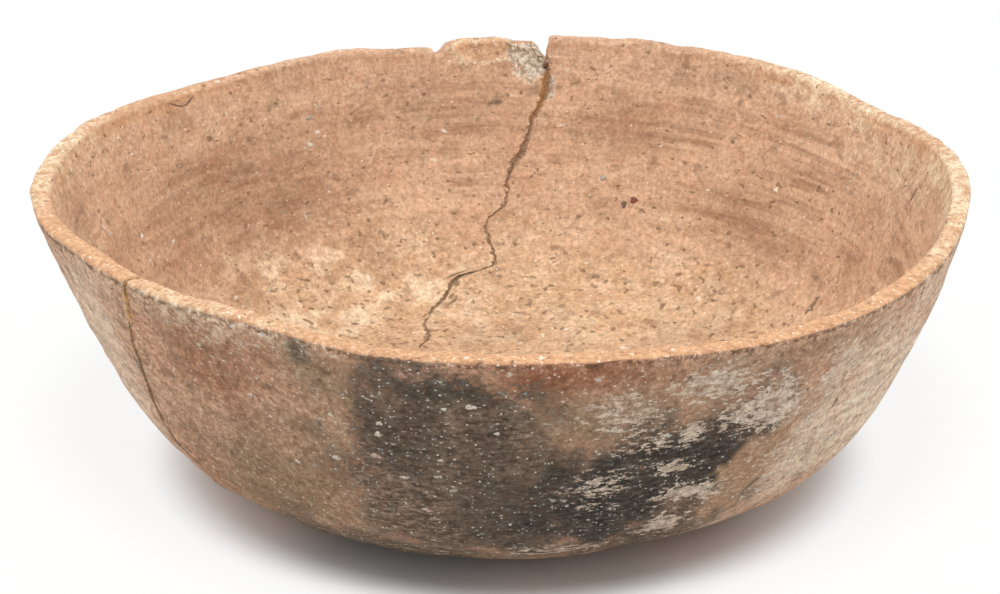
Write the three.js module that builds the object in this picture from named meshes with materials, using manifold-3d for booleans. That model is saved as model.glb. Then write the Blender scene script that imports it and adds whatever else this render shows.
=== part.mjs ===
// A hand-formed earthenware bowl: one piece of clay with a rounded bottom and an uneven lip.
// It is cracked from a notch in its back lip down to the floor, and along its front left wall.
// Millimetres, +Z up. The origin is the middle of the flat spot that the bowl stands on.
// Angles are in degrees from +X, turning towards +Y, which is the back of the bowl.
import * as THREE from 'three';
import { mergeVertices } from 'three/addons/utils/BufferGeometryUtils.js';
import Module from 'manifold-3d';

// Overall sizes and wall
const LIP_RADIUS = 142.5; // mean outer radius of the lip
const LIP_HEIGHT = 91.5; // mean height of the lip
const STAND_RADIUS = 32; // flat spot worn on the round bottom
const LIP_WALL = 6; // thickness of the wall at the lip
const BASE_WALL = 8.5; // thickness of the floor

// Curve of the outer wall: level for a while past the flat spot, then up along the leaning wall
const BELLY_REACH = 84; // pull of the level bottom
const WALL_RISE = 75; // pull of the leaning wall
const WALL_LEAN = 70; // slope of the wall at the lip, from level
const LIP_ROUND = 1.8; // rounding of the two edges of the lip

// How far the pressed lip strays from its mean height and radius, at even steps round the bowl
const LIP_RISES = [
  2.5, -1, -3.5, -0.5, 0.5, 1, 1, -0.5, 0, -1, 0, 2,
  1, 0.5, 3.5, 2.5, 2.5, -1, -1, -1, -2.5, -2.5, -1.5, 2,
];
const LIP_BULGES = [-2, 1, 2, -0.5, -2, -1, 3.5, 1, -1.5, 0, 1, -1];
const STRAY_FADE = 1.5; // power by which the unevenness dies away towards the floor

// Routes of the cracks: angle, distance below the lip along the wall, width of the gap
const BACK_CRACK = [
  [84.6, 4, 2.2], [84.2, 14, 1.8], [84.8, 21, 1.5], [86.3, 27, 1.6], [87.3, 36, 1.2],
  [88.2, 41, 1.4], [90.2, 49, 0.9], [90.5, 56, 0.9], [92, 61, 0.8], [94.8, 67, 0.8],
  [92.9, 80, 0.8], [95.2, 83.5, 0.8], [101.5, 87, 1.2], [107.5, 99, 0.7], [114, 110, 0.7],
  [114.5, 118, 0.6], [121, 123, 0.4],
];
const LEFT_CRACK = [
  [222, -1, 0.8], [221.8, 4, 0.9], [220, 12, 1.4], [218, 24, 0.9], [217, 35, 0.9],
  [215.2, 47, 1.1], [214.8, 57, 0.9], [214, 71, 0.8], [215.5, 79, 0.5],
];
const OPEN_DEPTH = 2.2; // depth of a crack on the face where it gapes
const HAIR_DEPTH = 0.8; // depth of a crack on its tight face
const HAIR_WIDTH = 0.45; // share of the gap that shows on the tight face
const CUT_LIFT = 1.2; // how far a cut starts above the surface

// Losses from the lip: distance along the lip from the deepest point, towards larger angles, and depth
const NOTCH = { angle: 84.8, outline: [[-1.8, 0], [-1.4, 3.6], [0, 7.7], [1.7, 4.3], [5.2, 0]] };
const CHIP = { angle: 101, outline: [[-3, 0], [0, 3.4], [2.5, 1.6], [14, 1.6], [30, 0]] };
const LOSS_CLEARANCE = 8; // how far the cut of a loss runs past the lip, above it and to both sides

// Fineness of the facets
const TURN_STEPS = 80;
const WALL_STEPS = 15;
const LIP_STEPS = 3;
const MERGE_GAP = 1e-4; // points closer than this are one corner

const CLAY_COLOR = 0xa87a58;
const CLAY_ROUGHNESS = 0.92;

const wasm = await Module();
wasm.setup();

const leanAngle = THREE.MathUtils.degToRad(WALL_LEAN);
const leanPull = new THREE.Vector2(Math.cos(leanAngle), Math.sin(leanAngle));

function outerWallCurve() {
  const lip = new THREE.Vector2(LIP_RADIUS, LIP_HEIGHT - LIP_ROUND);
  return new THREE.CubicBezierCurve(
    new THREE.Vector2(STAND_RADIUS, 0),
    new THREE.Vector2(STAND_RADIUS + BELLY_REACH, 0),
    lip.clone().addScaledVector(leanPull, -WALL_RISE),
    lip,
  );
}

// The inner wall repeats the outer one, set in by the wall's thickness
function innerWallCurve(outer) {
  const middleWall = (LIP_WALL + BASE_WALL) / 2;
  const lip = new THREE.Vector2(LIP_RADIUS - LIP_WALL / leanPull.y, outer.v3.y);
  const innerRise = (lip.x - outer.v2.x + middleWall) / leanPull.x;
  return new THREE.CubicBezierCurve(
    new THREE.Vector2(STAND_RADIUS, BASE_WALL),
    new THREE.Vector2(outer.v1.x - middleWall, BASE_WALL),
    lip.clone().addScaledVector(leanPull, -innerRise),
    lip,
  );
}

const outerWall = outerWallCurve();
const innerWall = innerWallCurve(outerWall);

// Half section of the clay, from the axis below the floor, round the lip and back to the axis
function clayProfile() {
  const outerEdge = outerWall.v3;
  const innerEdge = innerWall.v3;
  const outerTop = new THREE.Vector2(outerEdge.x - LIP_ROUND, LIP_HEIGHT);
  const innerTop = new THREE.Vector2(innerEdge.x + LIP_ROUND, LIP_HEIGHT);
  const outerCorner = new THREE.Vector2(outerEdge.x, LIP_HEIGHT);
  const innerCorner = new THREE.Vector2(innerEdge.x, LIP_HEIGHT);
  const outerRounding = new THREE.QuadraticBezierCurve(outerEdge, outerCorner, outerTop);
  const innerRounding = new THREE.QuadraticBezierCurve(innerTop, innerCorner, innerEdge);
  return [
    new THREE.Vector2(0, 0),
    ...outerWall.getSpacedPoints(WALL_STEPS),
    ...outerRounding.getPoints(LIP_STEPS).slice(1),
    ...innerRounding.getPoints(LIP_STEPS),
    ...innerWall.getSpacedPoints(WALL_STEPS).reverse().slice(1),
    new THREE.Vector2(0, BASE_WALL),
  ];
}

// Smooth closed curve through values at even steps round the bowl (Catmull-Rom)
function valueAround(values, turn) {
  const count = values.length;
  const place = THREE.MathUtils.euclideanModulo(turn / (2 * Math.PI), 1) * count;
  const step = Math.floor(place);
  const t = place - step;
  const [a, b, c, d] = [-1, 0, 1, 2].map((k) => values[(step + k + count) % count]);
  const slope = c - a;
  const bend = 2 * a - 5 * b + 4 * c - d;
  const twist = 3 * b - a - 3 * c + d;
  return 0.5 * (2 * b + slope * t + bend * t * t + twist * t ** 3);
}

// A point of the section carried round to an angle and pressed out of true with the lip
function onBowl(radius, height, turn) {
  const share = Math.max(height / LIP_HEIGHT, 0) ** STRAY_FADE;
  const stretch = 1 + (valueAround(LIP_BULGES, turn) * share) / LIP_RADIUS;
  const rise = valueAround(LIP_RISES, turn) * share;
  const reach = radius * stretch;
  return new THREE.Vector3(reach * Math.cos(turn), reach * Math.sin(turn), height + rise);
}

function toSolid(geometry) {
  geometry.deleteAttribute('normal');
  geometry.deleteAttribute('uv');
  const merged = mergeVertices(geometry, MERGE_GAP);
  const vertProperties = new Float32Array(merged.attributes.position.array);
  const triVerts = new Uint32Array(merged.index.array);
  return new wasm.Manifold(new wasm.Mesh({ numProp: 3, vertProperties, triVerts }));
}

function toGeometry(solid) {
  const { vertProperties, triVerts } = solid.getMesh();
  const geometry = new THREE.BufferGeometry();
  geometry.setAttribute('position', new THREE.BufferAttribute(vertProperties, 3));
  geometry.setIndex(new THREE.BufferAttribute(triVerts, 1));
  geometry.computeVertexNormals();
  return geometry;
}

// The whole vessel before any damage: the section turned about the axis, then pressed out of true
function vesselGeometry() {
  const geometry = new THREE.LatheGeometry(clayProfile(), TURN_STEPS);
  geometry.rotateX(Math.PI / 2);
  const position = geometry.attributes.position;
  const point = new THREE.Vector3();
  for (let i = 0; i < position.count; i += 1) {
    point.fromBufferAttribute(position, i);
    const moved = onBowl(Math.hypot(point.x, point.y), point.z, Math.atan2(point.y, point.x));
    position.setXYZ(i, moved.x, moved.y, moved.z);
  }
  return geometry;
}

// Where a crack station lies on a wall, and the way into the clay there
function crackStation(wall, intoSign, [angle, below]) {
  const turn = THREE.MathUtils.degToRad(angle);
  const along = 1 - below / wall.getLength();
  const overshoot = Math.max(along - 1, 0) * wall.getLength();
  const spot = wall.getPointAt(Math.min(along, 1));
  const tangent = wall.getTangentAt(Math.min(along, 1));
  const point = onBowl(spot.x, spot.y + overshoot, turn);
  const outwards = new THREE.Vector3(tangent.y * Math.cos(turn), tangent.y * Math.sin(turn), -tangent.x);
  return { point, into: outwards.multiplyScalar(intoSign) };
}

// A three-sided bar of unit length bent along a crack, one edge in the clay and two above it
function crackGeometry(route, wall, intoSign, depth, widthShare) {
  const last = route.length - 1;
  const stations = route.map((entry) => crackStation(wall, intoSign, entry));
  const geometry = new THREE.CylinderGeometry(1, 1, 1, 3, last);
  const position = geometry.attributes.position;
  const edgeAcross = Math.sin((2 * Math.PI) / 3);
  const edgeInto = Math.cos((2 * Math.PI) / 3);
  const intoScale = (depth + CUT_LIFT) / (1 - edgeInto);
  for (let i = 0; i < position.count; i += 1) {
    const step = Math.round((0.5 - position.getY(i)) * last);
    const { point, into } = stations[step];
    const heading = stations[Math.min(step + 1, last)].point.clone();
    heading.sub(stations[Math.max(step - 1, 0)].point);
    const across = new THREE.Vector3().crossVectors(into, heading).normalize();
    const halfTop = (0.5 * route[step][2] * widthShare * (depth + CUT_LIFT)) / depth;
    const moved = point.clone();
    moved.addScaledVector(into, depth + (position.getZ(i) - 1) * intoScale);
    moved.addScaledVector(across, (position.getX(i) / edgeAcross) * halfTop);
    position.setXYZ(i, moved.x, moved.y, moved.z);
  }
  return geometry;
}

// A loss from the lip: its outline seen from inside the bowl, cut straight through the wall
function lossGeometry({ angle, outline }) {
  const turn = THREE.MathUtils.degToRad(angle);
  const reach = LIP_WALL + LOSS_CLEARANCE;
  const first = outline[0][0];
  const final = outline.at(-1)[0];
  const shape = new THREE.Shape();
  shape.moveTo(final, LOSS_CLEARANCE);
  shape.lineTo(first, LOSS_CLEARANCE);
  for (const [along, below] of outline) shape.lineTo(along, -below);
  const geometry = new THREE.ExtrudeGeometry(shape, { depth: 2 * reach, bevelEnabled: false });
  const out = new THREE.Vector3(Math.cos(turn), Math.sin(turn), 0);
  const sideways = new THREE.Vector3(-Math.sin(turn), Math.cos(turn), 0);
  const up = new THREE.Vector3(0, 0, 1);
  const placing = new THREE.Matrix4().makeBasis(sideways, up, out);
  placing.setPosition(onBowl(LIP_RADIUS, LIP_HEIGHT, turn).addScaledVector(out, -reach));
  return geometry.applyMatrix4(placing);
}

function crackedBowl() {
  const cuts = [
    crackGeometry(BACK_CRACK, innerWall, 1, OPEN_DEPTH, 1),
    crackGeometry(BACK_CRACK, outerWall, -1, HAIR_DEPTH, HAIR_WIDTH),
    crackGeometry(LEFT_CRACK, outerWall, -1, OPEN_DEPTH, 1),
    crackGeometry(LEFT_CRACK, innerWall, 1, HAIR_DEPTH, HAIR_WIDTH),
    lossGeometry(NOTCH),
    lossGeometry(CHIP),
  ];
  let clay = toSolid(vesselGeometry());
  for (const cut of cuts) clay = clay.subtract(toSolid(cut));
  const material = new THREE.MeshStandardMaterial({
    color: CLAY_COLOR,
    roughness: CLAY_ROUGHNESS,
    metalness: 0,
  });
  const mesh = new THREE.Mesh(toGeometry(clay), material);
  mesh.name = 'bowl';
  return mesh;
}

const bowl = new THREE.Group();
bowl.add(crackedBowl());

export default bowl;
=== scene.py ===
# %% [markdown]
# # A cracked earthenware bowl
# This lesson builds the looks of one hand-formed, open-fired bowl around its packed solid.
# The solid gives the true size and stands for weight and contact. Here it is replaced by one fine
# surface of clay that follows the same section, with its cracks, chips and worn finish.
# Lengths are metres, +Z is up, and angles turn from +X towards +Y, the back of the bowl.

# %% Load the frame and keep its box
import math

import bpy
import numpy as np
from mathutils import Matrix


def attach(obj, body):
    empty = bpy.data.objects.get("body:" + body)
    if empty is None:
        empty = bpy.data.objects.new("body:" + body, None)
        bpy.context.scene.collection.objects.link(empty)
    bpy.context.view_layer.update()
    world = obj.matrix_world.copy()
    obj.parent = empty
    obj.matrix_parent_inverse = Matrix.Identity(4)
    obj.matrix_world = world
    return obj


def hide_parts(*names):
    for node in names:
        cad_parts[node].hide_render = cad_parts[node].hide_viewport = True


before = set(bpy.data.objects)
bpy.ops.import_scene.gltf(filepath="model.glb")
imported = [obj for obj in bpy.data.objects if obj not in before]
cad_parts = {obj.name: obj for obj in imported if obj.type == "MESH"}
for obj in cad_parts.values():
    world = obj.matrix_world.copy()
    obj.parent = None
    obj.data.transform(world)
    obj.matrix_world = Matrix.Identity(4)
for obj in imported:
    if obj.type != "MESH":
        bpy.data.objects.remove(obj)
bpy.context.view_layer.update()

MM = 0.001

# %% [markdown]
# ## The camera comes first
# The picture is taken from the front, 22 degrees above level, with a long lens. The lens is given
# as a focal length in picture widths, which turns into millimetres on a 36 mm wide sensor.

# %% Camera
IMAGE_WIDTH, IMAGE_HEIGHT = 1000, 594
VIEW_ELEVATION = math.radians(22.0)
VIEW_DISTANCE = 0.8
VIEW_TARGET = (0.0, 0.0, 60 * MM)
FOCAL_WIDTHS = 2.559
OPTICAL_CENTRE = (509.6, 264.4)
SENSOR_WIDTH = 36.0
NEAREST_SEEN = 10 * MM

camera_data = bpy.data.cameras.new("camera")
camera_data.sensor_width = SENSOR_WIDTH
camera_data.lens = SENSOR_WIDTH * FOCAL_WIDTHS
camera_data.shift_x = (IMAGE_WIDTH / 2 - OPTICAL_CENTRE[0]) / IMAGE_WIDTH
camera_data.shift_y = (OPTICAL_CENTRE[1] - IMAGE_HEIGHT / 2) / IMAGE_WIDTH
camera_data.clip_start = NEAREST_SEEN
camera = bpy.data.objects.new("camera", camera_data)
bpy.context.scene.collection.objects.link(camera)
camera.location = (
    VIEW_TARGET[0],
    VIEW_TARGET[1] - VIEW_DISTANCE * math.cos(VIEW_ELEVATION),
    VIEW_TARGET[2] + VIEW_DISTANCE * math.sin(VIEW_ELEVATION),
)
camera.rotation_euler = (math.pi / 2 - VIEW_ELEVATION, 0.0, 0.0)
bpy.context.scene.camera = camera
print("lens", round(camera_data.lens, 1), "mm, shift", camera_data.shift_x, camera_data.shift_y)

# %% [markdown]
# ## The section of the wall
# A potter pressed this bowl from a lump, so its wall runs level past a small flat spot, turns up
# and leans out to the lip. Two pulled curves, one for each face of the wall, give that section.
# They are measured along their length, so that a place can be named by its distance below the lip.

# %% Driving sizes and the two wall curves
LIP_RADIUS = 142.5 * MM
LIP_HEIGHT = 91.5 * MM
STAND_RADIUS = 32 * MM
LIP_WALL = 6 * MM
BASE_WALL = 8.5 * MM
BELLY_REACH = 84 * MM
WALL_RISE = 75 * MM
WALL_LEAN = math.radians(70)
LIP_ROUND = 1.8 * MM
CURVE_SAMPLES = 600


def pulled_curve(start, first_pull, second_pull, end):
    """Cubic curve: the four points weighted by (1-t)^3, 3(1-t)^2 t, 3(1-t) t^2 and t^3.
    Returns distance along it, radius and height, for even steps of t."""
    t = np.linspace(0, 1, CURVE_SAMPLES)[:, None]
    points = np.array([start, first_pull, second_pull, end])
    weights = np.hstack([(1 - t) ** 3, 3 * (1 - t) ** 2 * t, 3 * (1 - t) * t**2, t**3])
    radius, height = (weights @ points).T
    steps = np.hypot(np.diff(radius), np.diff(height))
    return np.concatenate([[0], np.cumsum(steps)]), radius, height


lean = np.array([math.cos(WALL_LEAN), math.sin(WALL_LEAN)])
middle_wall = (LIP_WALL + BASE_WALL) / 2
outer_lip = np.array([LIP_RADIUS, LIP_HEIGHT - LIP_ROUND])
outer_pull = outer_lip - WALL_RISE * lean
outer_wall = pulled_curve(
    (STAND_RADIUS, 0.0), (STAND_RADIUS + BELLY_REACH, 0.0), outer_pull, outer_lip
)
inner_lip = np.array([LIP_RADIUS - LIP_WALL / lean[1], outer_lip[1]])
inner_rise = (inner_lip[0] - outer_pull[0] + middle_wall) / lean[0]
inner_wall = pulled_curve(
    (STAND_RADIUS, BASE_WALL),
    (STAND_RADIUS + BELLY_REACH - middle_wall, BASE_WALL),
    inner_lip - inner_rise * lean,
    inner_lip,
)
OUTER_LENGTH = outer_wall[0][-1]
INNER_LENGTH = inner_wall[0][-1]
print("wall lengths in mm:", round(OUTER_LENGTH / MM, 1), round(INNER_LENGTH / MM, 1))

# %% [markdown]
# ## A lip that was pressed by hand
# Nothing on this bowl is truly round. Its lip rises and dips by a few millimetres and bulges out
# to the left. A smooth closed curve through a few values round the lip gives that, and it dies
# away towards the floor, because the bottom was shaped in a hollow and kept its form.

# %% Unevenness of the lip
LIP_RISES = np.array([
    2.5, -1, -3.5, -0.5, 0.5, 1, 1, -0.5, 0, -1, 0, 2,
    1, 0.5, 3.5, 2.5, 2.5, -1, -1, -1, -2.5, -2.5, -1.5, 2,
]) * MM
LIP_BULGES = np.array([-2, 1, 2, -0.5, -2, -1, 3.5, 1, -1.5, 0, 1, -1]) * MM
STRAY_FADE = 1.5


def value_around(values, turn):
    """Closed smooth curve through values at even angles (Catmull-Rom): between two values b and c
    with outer neighbours a and d it is half of 2b + (c-a)t + (2a-5b+4c-d)t^2 + (3b-a-3c+d)t^3."""
    place = (turn / (2 * math.pi) % 1.0) * len(values)
    step = np.floor(place).astype(int)
    t = place - step
    a, b, c, d = (values[(step + k) % len(values)] for k in (-1, 0, 1, 2))
    bend = 2 * a - 5 * b + 4 * c - d
    twist = 3 * b - a - 3 * c + d
    return 0.5 * (2 * b + (c - a) * t + bend * t**2 + twist * t**3)


def on_bowl(radius, height, turn):
    """Carry a point of the section round to an angle. The lip's bulge stretches its radius and the
    lip's rise lifts it, both times (height / lip height) to the fading power."""
    share = np.maximum(height / LIP_HEIGHT, 0) ** STRAY_FADE
    reach = radius * (1 + value_around(LIP_BULGES, turn) * share / LIP_RADIUS)
    lifted = height + value_around(LIP_RISES, turn) * share
    return np.stack([reach * np.cos(turn), reach * np.sin(turn), lifted], axis=-1)


print("lip height in mm:", round((LIP_HEIGHT + LIP_RISES.min()) / MM, 1), "to",
      round((LIP_HEIGHT + LIP_RISES.max()) / MM, 1))

# %% [markdown]
# ## Where the cracks run
# A crack is a line on the wall: an angle and a width for each distance below the lip. The long one
# starts in a notch at the back and wanders down to the floor. The other runs down the left of the
# front and was mended with glue. Between the given places the line is straight, as a break in
# coarse clay is, with a little jitter from grain to grain.

# %% Crack routes: angle in degrees, distance below the lip and width of the gap in mm
BACK_CRACK = np.array([
    [84.8, 0, 1.2], [84.5, 7, 0.9], [84.2, 10, 1.1], [84.2, 13, 1.9], [84.4, 17.5, 2.0], [85.0, 21, 1.4],
    [85.8, 24, 1.7], [86.4, 28, 1.1], [87.2, 34, 1.2], [88.2, 39.5, 2.3], [89.0, 42, 1.9], [89.8, 44, 1.3],
    [90.2, 47, 1.2], [90.4, 52, 0.7], [90.6, 56, 0.6], [91.2, 58, 0.9], [92.6, 60, 1.4], [94.0, 62.5, 0.7],
    [94.6, 66.5, 0.7], [93.6, 72.5, 1.0], [92.8, 78.2, 0.8], [93.4, 80.8, 1.4], [95.0, 82, 1.6],
    [98.8, 84, 1.3], [101.2, 85.2, 2.0], [103.0, 88.2, 1.6], [104.0, 91.5, 1.1], [105.2, 93.8, 1.3],
    [108.8, 98.8, 1.1], [111.0, 102.5, 0.7], [113.4, 108, 0.6], [114.2, 114, 1.2], [115.2, 118, 0.7],
    [121.0, 121.5, 1.0],
])
LEFT_CRACK = np.array([
    [221.8, 0, 0.6], [221.4, 2.5, 0.9], [221.0, 6, 1.3], [220.4, 9.5, 1.5], [220.1, 13, 1.1],
    [219.5, 16.5, 0.9], [218.9, 22, 1.0], [218.9, 26, 1.1], [217.6, 36, 1.3], [216.3, 42.5, 1.6],
    [216.0, 48, 1.4], [216.5, 56, 1.3], [217.6, 63.5, 1.2], [220.2, 69, 0.8],
])
BACK_END, LEFT_END = BACK_CRACK[-1, 1] * MM, LEFT_CRACK[-1, 1] * MM
BACK_SPREAD, LEFT_SPREAD = math.radians(72), math.radians(38)
# The jitter of both cracks: its size in degrees, the lengths of its two waves and the share of the second
ZIGZAG_SIZE, SHORT_WAVE, LONG_WAVE, LONG_SHARE = 0.15, 1.15 * MM, 1.9 * MM, 0.7


def crack_turn(route, below):
    """Angle of a crack at each distance below the lip: straight between the places of its route, plus
    a small zigzag, the sum of two sines."""
    zigzag = np.sin(below / SHORT_WAVE + route[0, 0]) + LONG_SHARE * np.sin(below / LONG_WAVE)
    return np.radians(np.interp(below / MM, route[:, 1], route[:, 0]) + ZIGZAG_SIZE * zigzag)


def crack_width(route, below):
    """Width of a crack at each distance below the lip, and nothing past its end."""
    return np.interp(below / MM, route[:, 1], route[:, 2], right=0.0) * MM


def swing(turn, below, route, spread):
    """How far a column of the grid turns to run along a crack: the crack's own swing from the lip,
    times a cosine bell that is 1 at the crack and 0 a spread away from it."""
    start = math.radians(route[0, 0])
    away = (turn - start + math.pi) % (2 * math.pi) - math.pi
    bell = np.where(np.abs(away) < spread, np.cos(0.5 * math.pi * away / spread) ** 2, 0.0)
    return bell * (crack_turn(route, below) - start)


print("back crack runs", round(BACK_END / MM), "mm down, left crack", round(LEFT_END / MM), "mm")

# %% [markdown]
# ## Losses from the lip
# Pieces of the lip are gone: a sharp notch where the long crack starts, and a chip with a worn
# stretch beside it. Each loss is an outline along the lip. The whole section is simply shortened
# by that much, so the broken edge keeps the thickness of the wall there.

# %% Outlines of the losses: distance along the lip from the deepest point and depth, in mm
NOTCH_TURN, CHIP_TURN = math.radians(85.0), math.radians(101.0)
NOTCH = np.array([[-4.0, 0], [-1.9, 0.6], [-1.4, 3.6], [-0.7, 6.0], [0, 8.2], [0.6, 7.0],
                  [1.8, 4.3], [3.4, 2.9], [4.7, 2.1], [11.4, 1.9], [13.2, 1.1], [18, 0.2], [22, 0]])
CHIP = np.array([[-9, 0], [-6, 0.5], [-3.2, 1.3], [-1.6, 3.0], [-0.4, 4.2], [0.8, 4.3],
                 [2.2, 2.6], [4.5, 2.0], [14, 1.6], [22, 1.0], [32, 0]])
# Wear all along the lip: its scale, and the two wavelengths of its unevenness
LIP_WEAR, WEAR_BROAD, WEAR_FINE = 0.32 * MM, 13 * MM, 5 * MM


def loss_of(turn, centre, outline):
    """Depth of one loss at each angle: straight between the points of its outline."""
    along = ((turn - centre + math.pi) % (2 * math.pi) - math.pi) * LIP_RADIUS
    return np.interp(along / MM, outline[:, 0], outline[:, 1], left=0, right=0) * MM


def ripple(points, wavelength, seed, waves=28):
    """Soft noise of about unit size: sine waves in random directions, with random phases and
    wavelengths within a third of the given one, added up."""
    rng = np.random.default_rng(seed)
    ways = rng.normal(size=(waves, 3))
    ways /= np.linalg.norm(ways, axis=1, keepdims=True)
    ways *= 2 * math.pi / (wavelength * rng.uniform(0.75, 1.33, (waves, 1)))
    phases = rng.uniform(0, 2 * math.pi, waves)
    total = sum(np.sin(points @ way + phase) for way, phase in zip(ways, phases))
    return total / math.sqrt(waves / 2)


def lip_loss(turn):
    """Depth of all losses at each angle: the largest of the notch, the chip and a little wear, which
    is the scale of the wear times 0.5 plus two soft noises."""
    lip_line = np.stack([np.cos(turn), np.sin(turn), 0 * turn], axis=-1) * LIP_RADIUS
    uneven = 0.5 + 0.45 * ripple(lip_line, WEAR_BROAD, 3) + 0.12 * ripple(lip_line, WEAR_FINE, 4)
    wear = LIP_WEAR * np.clip(uneven, 0, 2)
    broken = np.maximum(loss_of(turn, NOTCH_TURN, NOTCH), loss_of(turn, CHIP_TURN, CHIP))
    return np.maximum(broken, wear)


print("deepest loss in mm:", NOTCH[:, 1].max(), "at the notch,", CHIP[:, 1].max(), "at the chip")

# %% [markdown]
# ## The grid of the clay
# The whole skin of the bowl is one grid. Rows run from the middle of the underside, up the outside,
# over the lip and down the inside to the middle of the floor. Columns stand round the bowl, closer
# together at the cracks, and swing along them, so that each crack has columns of its own.

# %% Columns and rows
COLUMN_COUNT = 680
BASE_ROWS, OUTER_ROWS, LIP_ROWS, INNER_ROWS, FLOOR_ROWS = 5, 58, 14, 60, 6
# Where columns gather: angle in degrees, spread in degrees, how many times closer
GATHERINGS = ((84.8, 3.2, 9.0), (222.0, 2.2, 6.0), (101.0, 2.2, 2.0))
# Powers that set the rows of each wall closer together towards the lip
OUTER_CROWDING, INNER_CROWDING = 0.85, 1.15
# How round the lip is: angle in degrees, early stop of the walls in mm, squareness (1 is a half round)
LIP_FORM = np.array([[0, 0.5, 0.62], [45, 0.7, 0.66], [65, 1.3, 0.78], [125, 1.3, 0.78], [150, 0.7, 0.66],
                     [180, 0.5, 0.62], [235, 0.4, 0.56], [255, 0.2, 0.44], [300, 0.2, 0.44], [330, 0.4, 0.56],
                     [360, 0.5, 0.62]])


def column_turns():
    """Angles of the columns: even steps of the running total of a density, which is 1 plus a bell
    curve for each gathering."""
    fine = np.linspace(0, 360, 36001)
    density = 1 + sum(k * np.exp(-(((fine - a) / s) ** 2)) for a, s, k in GATHERINGS)
    total = np.concatenate([[0], np.cumsum((density[1:] + density[:-1]) / 2)])
    marks = np.linspace(0, total[-1], COLUMN_COUNT, endpoint=False)
    return np.radians(np.interp(marks, total, fine))


def along_wall(wall, distance):
    """Radius and height of a wall curve at each distance along it."""
    return np.interp(distance, wall[0], wall[1]), np.interp(distance, wall[0], wall[2])


def section_rows(turn, loss):
    """Radius, height, distance below the lip and side (0 outside, 1 inside) of every row, for each
    column's loss. The lip is a squared half round between the two walls, which stop a little early."""
    column = np.ones_like(loss)
    ease, squareness = (np.interp(np.degrees(turn), LIP_FORM[:, 0], LIP_FORM[:, k]) for k in (1, 2))
    ease = ease * MM
    share = np.linspace(0, 1, BASE_ROWS + 1)[1:-1, None] * column
    base = (share * STAND_RADIUS, 0 * share, OUTER_LENGTH + (1 - share) * STAND_RADIUS, 0 * share)
    share = np.linspace(0, 1, OUTER_ROWS)[:, None] ** OUTER_CROWDING * column
    distance = share * (OUTER_LENGTH - loss - ease)
    outer = (*along_wall(outer_wall, distance), OUTER_LENGTH - distance, 0 * share)
    share = (1 - np.linspace(0, 1, INNER_ROWS)[:, None] ** INNER_CROWDING) * column
    distance = share * (INNER_LENGTH - loss - ease)
    inner = (*along_wall(inner_wall, distance), INNER_LENGTH - distance, 0 * share + 1)
    arc = np.linspace(0, math.pi, LIP_ROWS + 2)[1:-1, None] * column
    across = 0.5 - 0.5 * np.sign(np.cos(arc)) * np.abs(np.cos(arc)) ** squareness
    crown = (LIP_ROUND + ease) * np.sin(arc) ** squareness
    lip_radius = outer[0][-1] + (inner[0][0] - outer[0][-1]) * across
    lip_height = outer[1][-1] + (inner[1][0] - outer[1][-1]) * across + crown
    lip = (lip_radius, lip_height, loss * column + 0 * arc, across)
    share = np.linspace(1, 0, FLOOR_ROWS + 1)[1:-1, None] * column
    floor = (share * STAND_RADIUS, BASE_WALL + 0 * share,
             INNER_LENGTH + (1 - share) * STAND_RADIUS, 0 * share + 1)
    return [np.concatenate(parts) for parts in zip(base, outer, lip, inner, floor)]


column_turn = column_turns()
column_loss = lip_loss(column_turn)
row_radius, row_height, row_below, row_side = section_rows(column_turn, column_loss)
grid_turn = column_turn + swing(column_turn, row_below, BACK_CRACK, BACK_SPREAD)
grid_turn = grid_turn + swing(column_turn, row_below, LEFT_CRACK, LEFT_SPREAD)
smooth_skin = on_bowl(row_radius, row_height, grid_turn)
print("grid of", smooth_skin.shape[0], "rows and", smooth_skin.shape[1], "columns")

# %% [markdown]
# ## Pressing the damage into the skin
# Each mark moves the skin along its own normal: hand-pressing dents, the V of each crack, the
# flakes lost beside the notch, the smooth scab on the right. The normal comes from the grid's own
# steps, so one set of arrays does for every mark.

# %% Normals and distances from the cracks
def skin_normals(skin):
    """Unit normals of the grid: the step to the next column crossed with the step to the next row,
    which points out of the clay on every stretch of the section."""
    across = np.roll(skin, -1, axis=1) - np.roll(skin, 1, axis=1)
    along = np.gradient(skin, axis=0)
    normal = np.cross(across, along)
    return normal / np.linalg.norm(normal, axis=-1, keepdims=True)


def crack_distance(route):
    """Signed distance of every grid point from a crack, measured round the bowl."""
    apart = (grid_turn - crack_turn(route, row_below) + math.pi) % (2 * math.pi) - math.pi
    return apart * row_radius


normals = skin_normals(smooth_skin)
inside = row_side
outside = 1 - row_side
from_back, from_left = crack_distance(BACK_CRACK), crack_distance(LEFT_CRACK)
turn_degrees = np.degrees(grid_turn) % 360
below_mm = row_below / MM
height_mm = smooth_skin[..., 2] / MM
print("normals point out:", bool((normals[OUTER_ROWS // 2] * smooth_skin[OUTER_ROWS // 2]).sum() > 0))

# %% [markdown]
# A crack is cut as a V whose width follows the route, and it is deep on the face where it gapes and
# a hairline on the other. Flakes are shallow steps with a ragged edge: the edge is an outline in
# angle and distance below the lip, made ragged with the same soft noise as the dents.

# %% Depth of cracks and flakes
OPEN_DEPTH, HAIR_DEPTH, HAIR_SHARE = 0.7 * MM, 0.3 * MM, 0.5
FULL_GAP = 1.0 * MM
FLAKE_DEPTH, CORE_DEPTH, SLIVER_DEPTH = 0.7 * MM, 1.3 * MM, 0.6 * MM
# Losses beside the notch: angle in degrees, distance below the lip in mm, half sizes in degrees and mm
FLAKE_OVAL, CORE_OVAL, SLIVER_OVAL = (94.0, -1, 5.2, 8.5), (86.6, 2, 3.6, 11), (83.5, 16, 0.6, 5.5)


def soft_step(value, low, high):
    """0 below low, 1 above high and a smooth S between them."""
    t = np.clip((value - low) / (high - low), 0, 1)
    return t * t * (3 - 2 * t)


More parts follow.
